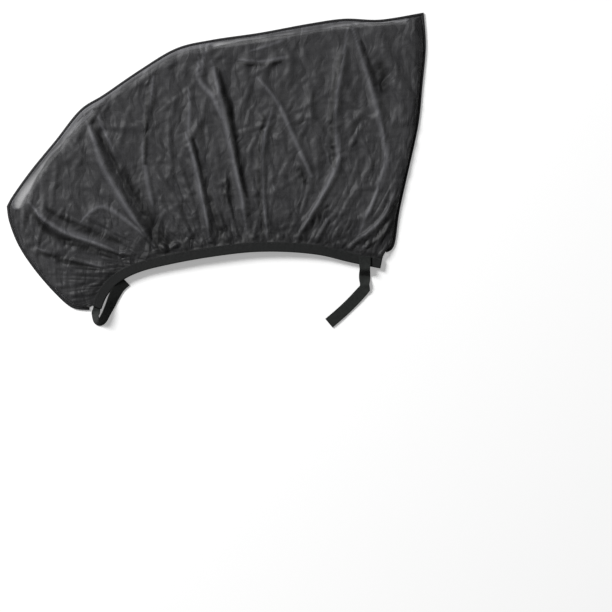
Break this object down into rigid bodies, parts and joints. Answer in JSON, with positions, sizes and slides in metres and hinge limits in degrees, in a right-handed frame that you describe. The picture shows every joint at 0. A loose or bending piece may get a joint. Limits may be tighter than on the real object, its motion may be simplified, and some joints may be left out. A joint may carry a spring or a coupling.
{
  "type": "car side window sunshade",
  "caption": "Slip-on sock of black see-through mesh for a car door's window frame, gathered into an elastic mouth with a tie at each end.",
  "frame": {"origin": "on the ground under the middle of the whole shade, straps included", "axes": "the shade lies flat, front up: +X to its right, +Y up the window and away from the mouth, +Z out of its front"},
  "size_m": [0.7328, 0.5508, 0.0286],
  "materials": {
    "mesh_cloth": "fine knitted polyester mesh, see-through, slight sheen",
    "seam_thread": "overlocked polyester thread",
    "elastic_web": "ribbed fold-over elastic, matte",
    "hook_and_loop": "brushed loop tape, matte"
  },
  "bodies": {
    "root": {"front_panel": "mesh_cloth", "back_panel": "mesh_cloth", "rim_seam": "seam_thread", "front_elastic": "elastic_web", "back_elastic": "elastic_web", "strap_left": "hook_and_loop", "strap_right": "hook_and_loop"}
  },
  "joints": []
}
